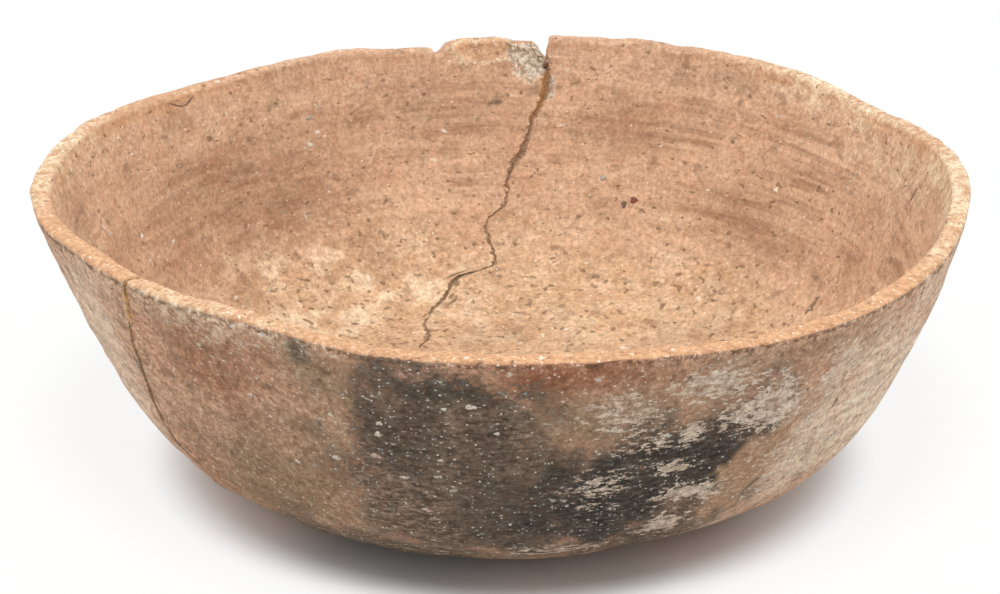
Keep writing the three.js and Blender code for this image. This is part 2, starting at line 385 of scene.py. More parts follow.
def groove(route, distance, open_side):
    """Depth of a crack: 1 - distance / half width, to the power 0.7, times the depth of the face and
    times half width / full gap, so that a narrow crack is shallow too."""
    ragged = 1 + 0.22 * ripple(smooth_skin, 3.5 * MM, 11)
    half = 0.5 * crack_width(route, row_below) * ragged
    half = half * (open_side + (1 - open_side) * HAIR_SHARE) + 1e-9
    depth = OPEN_DEPTH * open_side + HAIR_DEPTH * (1 - open_side)
    shallow = np.clip(half / FULL_GAP, 0.1, 1)
    return depth * shallow * np.clip(1 - np.abs(distance) / half, 0, 1) ** 0.7


def oval(angle, below, half_angle, half_below):
    """Distance from the middle of an oval on the inner wall, in its own half sizes."""
    return np.hypot((turn_degrees - angle) / half_angle, (below_mm - below) / half_below)


ragged_edge = 0.10 * ripple(smooth_skin, 7 * MM, 21)
beside_notch = soft_step(from_back, -0.3 * MM, 0.3 * MM)
flake_near = inside * np.clip(1.2 - oval(*FLAKE_OVAL), 0, 1)
core_near = inside * np.clip(1.3 - oval(*CORE_OVAL), 0, 1) * beside_notch
sliver_near = inside * np.clip(1.3 - oval(*SLIVER_OVAL), 0, 1) * (1 - beside_notch)
flake = soft_step(flake_near + ragged_edge, 0.2, 0.34)
core = soft_step(core_near + ragged_edge, 0.3, 0.5)
sliver = soft_step(sliver_near, 0.3, 0.6)
back_groove = groove(BACK_CRACK, from_back, inside)
left_groove = groove(LEFT_CRACK, from_left, outside)
print("flaked share of the grid:", round(float(((flake + core + sliver) > 0.5).mean()), 4))

# %% [markdown]
# The dents are broad and shallow, as fingers and a scraper leave them. They fade out at the foot,
# so the bowl still stands flat, and are smaller at the lip, whose line is already given. The thumb
# that rounded the lip left a faint hollow under it at the front. The scab is a smooth skin of slip,
# a little proud of the wall.

# %% Dents, scab and the finished skin
DENT_DEPTHS = ((52 * MM, 0.35 * MM, 31), (24 * MM, 0.20 * MM, 32), (9 * MM, 0.10 * MM, 33))
GRIT_DEPTH = 0.14 * MM
SCAB_PROUD = 0.5 * MM
SCAB_LEAN = 0.65
SCAB_TURN, SCAB_HEIGHT, SCAB_HALF_TURN, SCAB_HALF_HEIGHT = 301.8, 43.0, 4.2, 16.0
# The hollow under the front of the lip: its depth, and its middle and half width below the lip in mm
HOLLOW_DEPTH, HOLLOW_MIDDLE, HOLLOW_HALF = 0.35 * MM, 0.9, 1.1


def scab_field():
    """1 on the scab and 0 off it: a leaning oval on the outer wall, with a ragged edge."""
    turn = (turn_degrees - SCAB_TURN) / SCAB_HALF_TURN
    lift = (height_mm - SCAB_HEIGHT) / SCAB_HALF_HEIGHT
    leaning = np.hypot(turn - SCAB_LEAN * lift, lift)
    return outside * soft_step(1 + 2.5 * ragged_edge - leaning, 0, 0.16)


def dents_at(points, below):
    """Depth of the hand-pressed dents: soft noises of three wavelengths added up, none at the foot and
    half as deep at the lip."""
    dents = sum(depth * ripple(points, length, seed) for length, depth, seed in DENT_DEPTHS)
    above_foot = soft_step(points[..., 2], 0.5 * MM, 9 * MM)
    below_lip = 0.5 + 0.5 * soft_step(below, 2 * MM, 25 * MM)
    return dents * above_foot * below_lip


grit = GRIT_DEPTH * ripple(smooth_skin, 2.6 * MM, 41)
from_lip = below_mm - column_loss / MM
at_front = soft_step(np.sin(grid_turn), 0.2, -0.3)
hollow = HOLLOW_DEPTH * np.exp(-(((from_lip - HOLLOW_MIDDLE) / HOLLOW_HALF) ** 2)) * outside * at_front
scab = scab_field()
press = dents_at(smooth_skin, row_below) - hollow - back_groove - left_groove + SCAB_PROUD * scab
press = press - FLAKE_DEPTH * flake - SLIVER_DEPTH * sliver
press = press - (CORE_DEPTH - 2.2 * grit) * core + grit * flake
skin = smooth_skin + normals * press[..., None]
print("skin moved by", round(float(press.min() / MM), 2), "to", round(float(press.max() / MM), 2), "mm")

# %% [markdown]
# ## From grid to mesh
# The grid closes on itself round the bowl, and each end closes to one point on the axis, so the mesh
# is watertight. Quads take their corners in the order that turns their faces out of the clay.

# %% Mesh of a closed grid
def grid_faces(rows, columns, start=0):
    """Faces of a closed grid whose points are numbered from a start, row by row and then the two poles."""
    index = start + np.arange(rows * columns).reshape(rows, columns)
    right = np.roll(index, -1, axis=1)
    quads = np.stack([index[:-1], right[:-1], right[1:], index[1:]], axis=-1).reshape(-1, 4)
    first = np.full(columns, start + rows * columns)
    first_fan = np.stack([first, right[0], index[0]], axis=-1)
    last_fan = np.stack([index[-1], right[-1], first + 1], axis=-1)
    return quads.tolist() + first_fan.tolist() + last_fan.tolist()


def closed_grid_mesh(name, points, first_pole, last_pole):
    """Mesh of rows by columns of points, joined round the columns, with a fan to a pole at each end."""
    mesh = bpy.data.meshes.new(name)
    vertices = np.concatenate([points.reshape(-1, 3), [first_pole, last_pole]])
    mesh.from_pydata(vertices, [], grid_faces(*points.shape[:2]))
    mesh.shade_smooth()
    return mesh


def add_piece(name, mesh, material=None):
    """A new object at the origin that rides on the bowl's one body."""
    piece = bpy.data.objects.new(name, mesh)
    bpy.context.scene.collection.objects.link(piece)
    if material:
        mesh.materials.append(material)
    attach(piece, "root")
    return piece


bowl_mesh = closed_grid_mesh("bowl_skin", skin, (0, 0, 0), (0, 0, BASE_WALL))
bowl = add_piece("bowl_skin", bowl_mesh)
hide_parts("bowl")
print("bowl skin:", len(bowl_mesh.vertices), "vertices,", len(bowl_mesh.polygons), "faces")

# %% [markdown]
# ## Where the finish changes
# Open firing leaves a bowl patchy: soot where the flame was smothered, red and buff where air got
# in, pale clay where use has worn the skin away. Each finish is a field on the mesh, a short list
# of soft ovals. Soft noise pushes their edges about, so that no edge is a clean oval.

# %% Soft clouds, and a field made of patches
CLOUD_LENGTHS = ((46 * MM, 0.7, 51), (21 * MM, 0.55, 52), (10 * MM, 0.4, 53), (5 * MM, 0.25, 54))
cloud = sum(share * ripple(smooth_skin, length, seed) for length, share, seed in CLOUD_LENGTHS)


def patches(places, sideways, upright, unrest=0.0):
    """Field of soft ovals: strength times exp(-d^3), with d the distance from the middle of an oval
    in its half sizes, pushed about by the clouds. Where ovals meet, the stronger one shows."""
    field = np.zeros_like(sideways)
    for angle, middle, half_angle, half_size, strength in places:
        apart = (sideways - angle + 180) % 360 - 180
        d = np.hypot(apart / half_angle, (upright - middle) / half_size)
        d = np.maximum(d + unrest * cloud, 0)
        field = np.maximum(field, strength * np.exp(-(d**3)))
    return field


print("clouds run from", round(float(cloud.min()), 2), "to", round(float(cloud.max()), 2))

# %% [markdown]
# Outside, smoke blackened the front, most of all low down and to the right, and use has scuffed it
# there. Red and olive clay show where the fire was cleaner, and pale clay on both flanks. Low on the
# left of the front, soot and olive patches are also painted shade, darker towards the foot. The left
# edge of the soot is sharper than an oval, perhaps because something lay against the bowl there. It
# runs down at one angle and fades out lower on the wall.

# %% Patches on the outside: angle, height in mm, half sizes in degrees and mm, strength
# The low patches on the left of the front, at 240 to 246 degrees and about 12 mm up, are partly painted shade
# that darkens the wall towards the foot.
CHAR_AND_LOW_SHADE = (
    (259, 60, 11, 32, 1.0), (268, 62, 8, 20, 1.0), (263, 76, 7, 13, 0.9), (268, 46, 13, 28, 1.0),
    (257, 36, 9, 18, 0.8), (281, 38, 16, 27, 1.0), (294, 49, 10, 18, 1.0), (300, 68, 10, 14, 0.5),
    (290, 22, 12, 14, 0.8), (247, 88, 1.8, 5, 0.8), (246, 12, 18, 13, 0.95), (303, 30, 6, 12, 0.45),
    (305, 66, 9, 16, 0.3), (298, 28, 8, 12, 0.5), (293, 30, 7, 9, 0.9), (217.6, 63, 1.8, 6, 0.45),
    (240, 12, 19, 11, 0.5),
)
BLACK = (
    (283, 38, 12, 23, 1.0), (293, 48, 8, 14, 0.9), (270, 42, 9, 22, 0.47), (258, 66, 8, 20, 0.48),
    (267, 58, 8, 20, 0.4), (263, 81, 10, 9, 0.58), (270, 80, 6, 7, 0.4),
)
WORN = (
    (282, 72, 5, 9, 0.9), (294, 77, 6, 7, 1.0), (291.8, 61, 1.7, 4.5, 1.0), (290, 49, 3.5, 3.5, 1.0),
    (294, 37, 6.5, 5.5, 1.0), (291, 25, 4.5, 5.5, 1.0), (281, 44, 6, 9, 0.68), (278, 17, 9, 4, 0.75),
    (312, 40, 10, 18, 0.75), (302, 67, 8, 11, 0.95), (286, 60, 5, 6, 0.6), (312, 72, 8, 12, 0.78),
    (326, 56, 9, 28, 0.5), (224, 68, 1.0, 16, 0.6), (216, 62, 5, 20, 0.36),
)
RED = (
    (275, 84, 11, 9, 1.0), (232, 76, 9, 15, 0.65), (240, 84, 5, 6, 0.5), (222, 30, 5, 16, 0.4),
    (217.2, 51.5, 1.0, 4, 0.8),
)
# The patches at 255 degrees 9 mm up and at 238 degrees 32 mm up are partly painted shade, darker towards the
# foot on the left.
OLIVE_AND_LOW_SHADE = (
    (279, 69, 11, 11, 0.95), (246, 44, 7, 30, 0.8), (255, 9, 26, 11, 0.95), (238, 32, 15, 22, 0.9),
    (305, 82, 12, 9, 0.5), (248.5, 79, 5, 12, 0.75),
)
PALE = (
    (326, 50, 20, 34, 0.9), (313, 34, 11, 16, 0.8), (348, 60, 14, 30, 0.8), (206, 60, 10, 40, 0.7),
    (300, 24, 10, 14, 0.5), (282, 71, 6, 8, 0.12),
)
CREAM = (
    (34, 92, 22, 9, 1.0), (354, 92, 20, 7, 1.0), (178, 94, 16, 7, 0.75), (16, 80, 13, 12, 0.45),
    (233, 90, 13, 6, 0.6),
)
# The sharp edge of the soot: angles where it starts and is full, and heights in mm where it fades out
EDGE_START, EDGE_FULL, EDGE_FADED, EDGE_WHOLE = 248.6, 253.8, 46, 62
EDGE_MIDDLE, EDGE_REACH = 256, 8

char = patches(CHAR_AND_LOW_SHADE, turn_degrees, height_mm, 0.16) * outside
soot_edge = soft_step(turn_degrees + 1.3 * cloud, EDGE_START, EDGE_FULL)
soot_edge = np.maximum(soot_edge, soft_step(EDGE_WHOLE - height_mm, 0, EDGE_WHOLE - EDGE_FADED))
char = char * np.where(np.abs(turn_degrees - EDGE_MIDDLE) < EDGE_REACH, soot_edge, 1.0)
black = patches(BLACK, turn_degrees, height_mm, 0.18) * outside
worn = patches(WORN, turn_degrees, height_mm, 0.14) * outside
red = patches(RED, turn_degrees, height_mm, 0.2) * outside
olive = patches(OLIVE_AND_LOW_SHADE, turn_degrees, height_mm, 0.2) * outside
pale = patches(PALE, turn_degrees, height_mm, 0.2) * outside
cream = patches(CREAM, turn_degrees, height_mm, 0.2)
print("charred share of the outside:", round(float((char[outside > 0.5] > 0.5).mean()), 3))

# %% [markdown]
# Inside, the floor is rubbed pale and the upper wall is browner, most of all on the left. These
# fields are placed by the distance below the lip. Stains are small dark marks: old dirt beside the
# crack, a scratch or two, and the short crack along the lower edge of the scab outside.

# %% Patches on the inside: angle, distance below the lip in mm, half sizes in degrees and mm, strength
DUSK = (
    (140, 42, 22, 24, 1.0), (104, 22, 14, 12, 0.65), (71, 27, 9, 9, 0.75), (43, 50, 14, 13, 0.9),
    (170, 50, 12, 22, 0.6), (15, 32, 10, 14, 0.5), (21, 52, 10, 13, 0.5), (66, 10, 6, 7, 0.4),
)
FLOOR_START, FLOOR_FULL = 46.0, 88.0
# Wiping streaks on the wall, in mm below the lip: where they start, are full, end, and how they fade
WIPED_FROM, WIPED_FULL, WIPED_TO, WIPED_FADE = 6, 16, 70, 25
FLOOR_PALE = (
    (113, 82, 13, 13, 1.0), (136, 88, 14, 12, 0.85), (140, 67, 9, 10, 0.9), (124, 72, 11, 10, 0.8),
    (103, 70, 9, 9, 0.5), (100, 104, 24, 10, 0.4), (76, 92, 14, 9, 0.4), (60, 78, 8, 8, 0.3),
    (83, 62, 9, 9, 0.45),
)
INNER_STAINS = (
    (101.6, 85.6, 0.9, 3.2, 1.0), (103.4, 95.6, 0.8, 2.6, 0.9), (89.3, 47.6, 0.7, 0.8, 0.8),
    (110.2, 108.2, 1.6, 1.0, 0.9), (8.4, 15.5, 0.5, 3.0, 1.0), (23.2, 67.0, 0.7, 4.0, 0.8),
    (27.0, 58.5, 2.2, 2.6, 0.42), (92.2, 20.8, 1.6, 0.8, 0.6), (88.8, 21.6, 1.2, 0.8, 0.6),
)
OUTER_STAINS = (
    (304.4, 35.6, 0.5, 1.4, 1.0), (303.6, 33.4, 0.7, 1.2, 1.0), (302.7, 32.0, 0.7, 0.9, 1.0),
    (314.4, 55.4, 0.4, 1.7, 1.0), (246.2, 89.0, 0.9, 1.6, 0.7), (199.0, 90.0, 1.0, 2.0, 0.8),
    (206.0, 89.5, 0.6, 2.2, 0.8),
)

pale_floor = patches(FLOOR_PALE, turn_degrees, below_mm, 0.25) * inside
stain = patches(INNER_STAINS, turn_degrees, below_mm, 0.1) * inside
stain = np.maximum(stain, patches(OUTER_STAINS, turn_degrees, height_mm, 0.1) * outside)
dusk = np.clip(patches(DUSK, turn_degrees, below_mm, 0.28) + 0.24 * cloud, 0, 1) * inside
rubbed = soft_step(below_mm + 7 * cloud, FLOOR_START, FLOOR_FULL) * inside
below_top = soft_step(below_mm, WIPED_FROM, WIPED_FULL)
above_floor = soft_step(WIPED_TO - below_mm, 0, WIPED_FADE)
wiped = below_top * above_floor * np.clip(0.45 + 0.5 * cloud, 0, 1) * inside
wiped = np.maximum(wiped, 0.55 * pale)
print("rubbed share of the inside:", round(float(rubbed[inside > 0.5].mean()), 3))

# %% [markdown]
# Hands rub a lip bare and bright. How much of it is rubbed changes round the bowl, and so does how
# far the rubbed skin reaches down the outside. One more field gives the drop below that edge: more
# than 0 outside, less than 0 on the lip and inside. Grains crowd where it is near 0.

# %% The rubbed lip: angle in degrees with the share that is rubbed, and with its reach in mm
LIP_RUBBED = np.array([[0, 0.8], [50, 0.5], [65, 0.1], [125, 0.1],
                       [150, 0.6], [200, 0.9], [340, 1.0], [360, 0.8]])
LIP_REACH = np.array([[0, 1.2], [200, 1.5], [235, 1.3], [255, 0.5], [300, 0.5], [330, 1.1], [360, 1.2]])
# Where grains crowd: the middle and half width of a bell curve, in mm below the rubbed edge
GRIT_MIDDLE, GRIT_HALF = 0.5, 1.5

lip_share = np.interp(turn_degrees, LIP_RUBBED[:, 0], LIP_RUBBED[:, 1])
lip_drop = (row_height.max(axis=0) - row_height) / MM
lip_reach = np.interp(turn_degrees, LIP_REACH[:, 0], LIP_REACH[:, 1])
under = np.where(inside < 0.5, lip_drop, -lip_drop) - lip_reach
edge_grit = np.exp(-(((under - GRIT_MIDDLE) / GRIT_HALF) ** 2))
print("the rubbed lip reaches", lip_reach.min().round(1), "to", lip_reach.max().round(1), "mm down")

# %% [markdown]
# A crack's colour needs a finer line than the grid can hold. The grid carries two smooth fields,
# the distance across to the nearest crack and half the width of its gap, and the nodes draw the
# line from them, with a jitter from grain to grain.

# %% Fields of the cracks, and all fields put on the mesh
FAR = 9.0
NO_GAP = -1.0
UNDER_LIMIT = 12
# Old glue, in mm below the lip: where it starts, is full, fades and ends at the back, and fades and ends left
BACK_GLUE, LEFT_GLUE = (9, 12, 26, 30), (35, 60)

near_left = np.abs(from_left) < np.abs(from_back)
open_share = np.where(near_left, outside, inside) * (1 - HAIR_SHARE) + HAIR_SHARE
across = np.clip(np.where(near_left, from_left, from_back) / MM, -FAR, FAR)
width = np.where(near_left, crack_width(LEFT_CRACK, row_below), crack_width(BACK_CRACK, row_below)) / MM
gap = np.where(width > 0, 0.5 * width * open_share, NO_GAP)
back_glue = soft_step(-below_mm, -BACK_GLUE[3], -BACK_GLUE[2]) * soft_step(below_mm, *BACK_GLUE[:2])
left_amber = soft_step(-below_mm, -LEFT_GLUE[1], -LEFT_GLUE[0])
amber = np.where(near_left, left_amber, back_glue)
fields = {
    "inside": inside, "char": char, "black": black, "worn": worn, "red": red, "olive": olive, "pale": pale,
    "cream": cream, "dusk": dusk, "rubbed": rubbed, "wiped": wiped, "lip": lip_share,
    "under": np.clip(under, -UNDER_LIMIT, UNDER_LIMIT), "edge_grit": edge_grit,
    "scab": scab, "stain": stain, "pale_floor": pale_floor,
    "across": across, "gap": gap, "amber": amber, "flake": flake_near,
    "core": np.maximum(core_near, 0.8 * sliver_near),
}
# Values at the two poles, under the foot and in the middle of the floor, where they aren't 0
pole_values = {"inside": (0, 1), "rubbed": (0, 1), "gap": (NO_GAP, NO_GAP),
               "under": (UNDER_LIMIT, -UNDER_LIMIT)}
for field_name, field in fields.items():
    layer = bowl_mesh.attributes.new(field_name, "FLOAT", "POINT")
    on_grid = np.broadcast_to(field, inside.shape).ravel()
    values = np.concatenate([on_grid, pole_values.get(field_name, (0, 0))])
    layer.data.foreach_set("value", values.astype(np.float32))
print("fields on the mesh:", ", ".join(fields))

# %% [markdown]
# ## A few helpers for the clay's nodes
# The finish is built from the same few moves: read a field, make noise in object coordinates, turn
# a value into a soft mask, lay one colour over another. Each move is one small function, so that
# the recipe below reads coat by coat, from the bare clay outwards.

# %% Node helpers
class Recipe:
    """A material under construction: its node tree, and short calls that add nodes to it."""

    def __init__(self, name):
        self.material = bpy.data.materials.new(name)
        self.material.use_nodes = True
        self.tree = self.material.node_tree
        self.shader = self.tree.nodes["Principled BSDF"]
        self.place = self.tree.nodes.new("ShaderNodeTexCoord").outputs["Object"]
        self.top = None

    def node(self, kind, **settings):
        """A new node with some of its settings."""
        made = self.tree.nodes.new(kind)
        for key, value in settings.items():
            setattr(made, key, value)
        return made

    def feed(self, socket, value):
        """Link another node's output, or set a plain value."""
        if isinstance(value, bpy.types.NodeSocket):
            self.tree.links.new(value, socket)
        else:
            socket.default_value = value

    def field(self, name):
        """Read a field of the mesh."""
        return self.node("ShaderNodeAttribute", attribute_name=name).outputs["Fac"]

    def math(self, operation, a, b=0.0):
        """One sum on two values."""
        made = self.node("ShaderNodeMath", operation=operation)
        self.feed(made.inputs[0], a)
        self.feed(made.inputs[1], b)
        return made.outputs[0]

    def times(self, *values):
        """Product of two or more values."""
        product = values[0]
        for value in values[1:]:
            product = self.math("MULTIPLY", product, value)
        return product

    def plus(self, *values):
        """Sum of two or more values."""
        total = values[0]
        for value in values[1:]:
            total = self.math("ADD", total, value)
        return total

    def mask(self, value, low, high):
        """0 below low, 1 above high, a smooth S between; low may be the larger one."""
        made = self.node("ShaderNodeMapRange", interpolation_type="SMOOTHSTEP")
        self.feed(made.inputs["Value"], value)
        self.feed(made.inputs["From Min"], low)
        self.feed(made.inputs["From Max"], high)
        return made.outputs["Result"]

    def stretched(self, scale):
        """Object coordinates times a scale on each axis."""
        made = self.node("ShaderNodeMapping", vector_type="POINT")
        self.feed(made.inputs["Vector"], self.place)
        made.inputs["Scale"].default_value = scale
        return made.outputs["Vector"]

    def noise(self, scale, detail=4.0, rough=0.55, place=None):
        """Fractal noise about 0.5, in object coordinates or at another place."""
        made = self.node("ShaderNodeTexNoise", noise_dimensions="3D")
        self.feed(made.inputs["Vector"], place or self.place)
        for key, value in (("Scale", scale), ("Detail", detail), ("Roughness", rough)):
            made.inputs[key].default_value = value
        return made.outputs["Fac"]

    def over(self, below, above, amount, blend="MIX"):
        """Lay one colour over another by an amount."""
        made = self.node("ShaderNodeMix", data_type="RGBA", blend_type=blend)
        self.feed(made.inputs[0], amount)
        self.feed(made.inputs[6], below)
        self.feed(made.inputs[7], above)
        return made.outputs[2]

    def coat(self, paint, *amounts, blend="MIX"):
        """Lay one more colour over the topmost one, by the product of some amounts."""
        self.top = self.over(self.top, paint, self.times(*amounts), blend)

    def specks(self, place, size, ragged, share):
        """Grains: a share of the cells of a Voronoi pattern, drawn by lot, each hold a spot of up to the
        given size in cells, with a ragged edge and a strength drawn by lot."""
        cells = self.node("ShaderNodeTexVoronoi", voronoi_dimensions="3D", feature="F1")
        self.feed(cells.inputs["Vector"], place)
        cells.inputs["Scale"].default_value = 1.0
        lot = self.node("ShaderNodeSeparateColor")
        self.feed(lot.inputs[0], cells.outputs["Color"])
        reach = self.times(self.plus(lot.outputs[1], 0.35), self.plus(self.times(ragged, 3.0), -0.8), size)
        spot = self.mask(self.math("DIVIDE", cells.outputs["Distance"], reach), 1.0, 0.55)
        strength = self.plus(self.times(lot.outputs[2], 0.6), 0.4)
        return self.times(spot, strength, self.math("LESS_THAN", lot.outputs[0], share))


def colour(red, green, blue):
    """An opaque colour in linear light."""
    return (red, green, blue, 1.0)


print("helpers:", ", ".join(name for name in vars(Recipe) if not name.startswith("_")))

# %% [markdown]
# ## Bare clay
# Low-fired clay is never one colour. The inside goes from a brown-pink wall to a buff floor, with
# level wiping streaks, which are noise squeezed along Z. The outside is a pinker, duller brown. Over
# all of it lies a fine mottle, from a fractal noise that tints dark and light grains differently.

# %% Clay colours and mottle
FLOOR_BUFF = colour(0.67, 0.425, 0.257)
WALL_PINK = colour(0.685, 0.425, 0.284)
DUSK_BROWN = colour(0.385, 0.216, 0.135)
OUTER_BROWN = colour(0.73, 0.43, 0.285)
OUTER_RED = colour(0.43, 0.186, 0.10)
OUTER_OLIVE_AND_SHADE = colour(0.385, 0.248, 0.155)
OUTER_PALE = colour(0.99, 0.75, 0.58)
TINT_DARK = colour(0.66, 0.60, 0.56)
TINT_LIGHT = colour(1.32, 1.40, 1.42)
TINT_PINK, TINT_OLIVE = colour(1.02, 0.985, 0.965), colour(0.98, 1.01, 1.01)
RUBBED_CREAM = colour(0.91, 0.69, 0.48)
BLOT_BROWN = colour(0.34, 0.21, 0.13)
# Scales of the noises on X, Y and Z, in waves for each metre: a larger one on Z lays the marks level
MOTTLE_SCALE, STREAK_SCALE = (300, 300, 370), (19, 19, 310)
BROAD_SCALE, BLOT_SCALE = (62, 62, 110), (150, 150, 210)
SAND_SCALE, DRIFT_SCALE = 760, 105

clay = Recipe("fired_clay")
mottle = clay.noise(1.0, 4.5, 0.80, clay.stretched(MOTTLE_SCALE))
sand = clay.noise(SAND_SCALE, 3, 0.65)
streaks = clay.noise(1.0, 3.5, 0.66, clay.stretched(STREAK_SCALE))
inner_clay = clay.over(WALL_PINK, FLOOR_BUFF, clay.field("rubbed"))
inner_clay = clay.over(inner_clay, DUSK_BROWN, clay.times(clay.field("dusk"), 0.84))
outer_clay = clay.over(OUTER_BROWN, OUTER_RED, clay.field("red"))
# The olive field also carries painted shade low on the left of the front, towards the foot.
outer_clay = clay.over(outer_clay, OUTER_OLIVE_AND_SHADE, clay.field("olive"))
outer_clay = clay.over(outer_clay, OUTER_PALE, clay.field("pale"))
clay.top = clay.over(outer_clay, inner_clay, clay.field("inside"))
drift = clay.noise(DRIFT_SCALE, 3.0, 0.6)
drift_tint = clay.over(TINT_PINK, TINT_OLIVE, clay.mask(drift, 0.34, 0.66))
clay.coat(drift_tint, 1.0, blend="MULTIPLY")
broad = clay.noise(1.0, 4.0, 0.68, clay.stretched(BROAD_SCALE))
cream_share = clay.plus(0.12, clay.times(clay.field("rubbed"), 0.2),
                        clay.times(clay.field("pale_floor"), 0.7))
creamy = clay.times(clay.mask(broad, 0.42, 0.60), cream_share, clay.field("inside"))
clay.coat(RUBBED_CREAM, creamy)
blots = clay.noise(1.0, 2.5, 0.6, clay.stretched(BLOT_SCALE))
clay.coat(BLOT_BROWN, clay.mask(blots, 0.58, 0.70), 0.55)
streak_tint = clay.over(TINT_DARK, TINT_LIGHT, clay.mask(streaks, 0.28, 0.72))
clay.coat(streak_tint, clay.plus(0.12, clay.times(clay.field("wiped"), 0.78)), blend="MULTIPLY")
print("clay nodes so far:", len(clay.tree.nodes))

# %% [markdown]
# ## Soot, scuffs and the lip
# Soot sinks into the clay, so it darkens the colour under a noisy edge. Use has scuffed the sooty
# skin in level streaks down to pale clay. The lip is rubbed light down to a crumbling edge, with a dark
# line under it that is partly dirt and partly painted shade, and it is a paler cream in places.

# %% Soot, scuffs and lip
CHAR_AND_SHADE_BROWN = colour(0.175, 0.13, 0.10)
SOOT_BLACK = colour(0.055, 0.05, 0.046)
SOOT_DEEP, SOOT_THIN = colour(0.45, 0.44, 0.43), colour(2.0, 1.95, 1.85)
SCUFF_PALE = colour(0.85, 0.67, 0.53)
LIP_TAN = colour(0.73, 0.405, 0.222)
LIP_CREAM = colour(0.92, 0.76, 0.54)
# Dark brown for the line under the lip: partly dirt, partly painted shade under its edge
LIP_DIRT_AND_SHADE = colour(0.17, 0.095, 0.06)
SCAB_BROWN = colour(0.56, 0.345, 0.215)
SCRATCH_SCALE = (300, 300, 760)

unrest = clay.plus(mottle, -0.5)
scratchy = clay.noise(1.0, 4.0, 0.76, clay.stretched(SCRATCH_SCALE))
fine_unrest = clay.plus(scratchy, -0.5)
ragged = clay.plus(clay.times(unrest, 1.5), clay.times(fine_unrest, 1.4))
# The soot mask also carries painted shade low on the left of the front, towards the foot.
charred = clay.mask(clay.plus(clay.field("char"), ragged), 0.12, 0.62)
blackened = clay.mask(clay.plus(clay.field("black"), ragged), 0.20, 0.75)
clay.coat(CHAR_AND_SHADE_BROWN, charred, 0.9)
clay.coat(SOOT_BLACK, blackened, 0.88)
soot_tint = clay.over(SOOT_DEEP, SOOT_THIN, clay.mask(scratchy, 0.36, 0.68))
clay.coat(soot_tint, charred, blend="MULTIPLY")
clay.coat(SCAB_BROWN, clay.field("scab"))
worn_limit = clay.plus(0.71, clay.times(clay.field("worn"), -0.27), clay.times(charred, -0.035))
scuffs = clay.mask(clay.math("SUBTRACT", scratchy, worn_limit), -0.008, 0.02)
clay.coat(SCUFF_PALE, scuffs, 0.88)
under_edge = clay.plus(clay.field("under"), clay.times(unrest, 3.2), clay.times(sand, 1.4), -0.7)
# The dark band under the rubbed edge of the lip is partly dirt and partly painted shade under the lip's
# overhang.
dirt_and_shade_line = clay.times(clay.mask(under_edge, 0.0, 0.4), clay.mask(under_edge, 2.4, 0.7),
                       clay.mask(mottle, 0.62, 0.42))
clay.coat(LIP_DIRT_AND_SHADE, dirt_and_shade_line, 0.75)
lip_seen = clay.times(clay.mask(under_edge, 0.35, -0.1), clay.mask(under_edge, -7.3, -4.8),
                      clay.field("lip"))
clay.coat(LIP_TAN, lip_seen, 0.9)
# Paler cream patches on and near the lip, where the cream field and the mottle allow.
lip_cream_amount = clay.times(clay.field("cream"), clay.mask(mottle, 0.34, 0.6))
clay.coat(LIP_CREAM, lip_cream_amount, 0.85)
print("clay nodes so far:", len(clay.tree.nodes))

# %% [markdown]
# ## The broken core, grains and pits
# The core that shows beside the notch is grey and full of grains, and the flaked clay next to it is
# a bright orange, with a painted highlight along its rim. The clay was mixed with crushed white rock. Its
# grains show as specks, most of all outside and along the edge of the lip. Where grains or chaff fell out
# there are small brown pits, most of all on the floor: the highest parts of one more noise.

# %% Broken core, grains and pits
GRAIN_WHITE = colour(0.98, 0.89, 0.76)
PIT_BROWN = colour(0.20, 0.115, 0.066)
STAIN_BROWN = colour(0.19, 0.13, 0.08)
CORE_DARK, CORE_PALE = colour(0.40, 0.335, 0.27), colour(0.74, 0.65, 0.53)
FLAKE_ORANGE = colour(0.72, 0.43, 0.25)
# Pale colour of the painted highlight along the flake's edge
FLAKE_RIM_HIGHLIGHT = colour(0.85, 0.66, 0.46)
FINE_SCALE, COARSE_SCALE, PIT_SCALE = (880, 880, 1150), (260, 260, 350), (350, 350, 500)

core_seen = clay.mask(clay.plus(clay.field("core"), clay.times(ragged, 0.9)), 0.20, 0.40)
flake_edge = clay.plus(clay.field("flake"), clay.times(ragged, 0.5))
flake_seen = clay.mask(flake_edge, 0.15, 0.30)
# A painted highlight along the flake's lower edge, where the step of the flake would catch the light.
flake_rim_highlight = clay.times(flake_seen, clay.mask(flake_edge, 0.42, 0.28))
clay.coat(FLAKE_ORANGE, flake_seen, 0.65)
clay.coat(FLAKE_RIM_HIGHLIGHT, flake_rim_highlight, 0.6)
core_colour = clay.over(CORE_DARK, CORE_PALE, clay.mask(sand, 0.36, 0.62))
clay.coat(core_colour, core_seen, 0.82)
mottle_tint = clay.over(TINT_DARK, TINT_LIGHT, clay.mask(mottle, 0.34, 0.66))
sand_tint = clay.over(TINT_DARK, TINT_LIGHT, clay.mask(sand, 0.28, 0.72))
calm_wall = clay.plus(clay.times(clay.field("inside"), -0.28), clay.times(clay.field("wiped"), -0.3),
                      clay.times(lip_seen, -0.25), clay.times(clay.field("scab"), -0.3), 0.76)
clay.coat(mottle_tint, calm_wall, blend="MULTIPLY")
sandy = clay.plus(0.68, clay.times(clay.field("inside"), -0.18))
clay.coat(sand_tint, sandy, blend="MULTIPLY")
outer_field = clay.math("SUBTRACT", 1.0, clay.field("inside"))
fine_white = clay.plus(clay.times(outer_field, 0.25), clay.times(clay.field("edge_grit"), 0.3),
                       clay.times(core_seen, 0.5), clay.times(flake_seen, 0.45), 0.045)
fine_grains = clay.specks(clay.stretched(FINE_SCALE), 0.45, sand, fine_white)
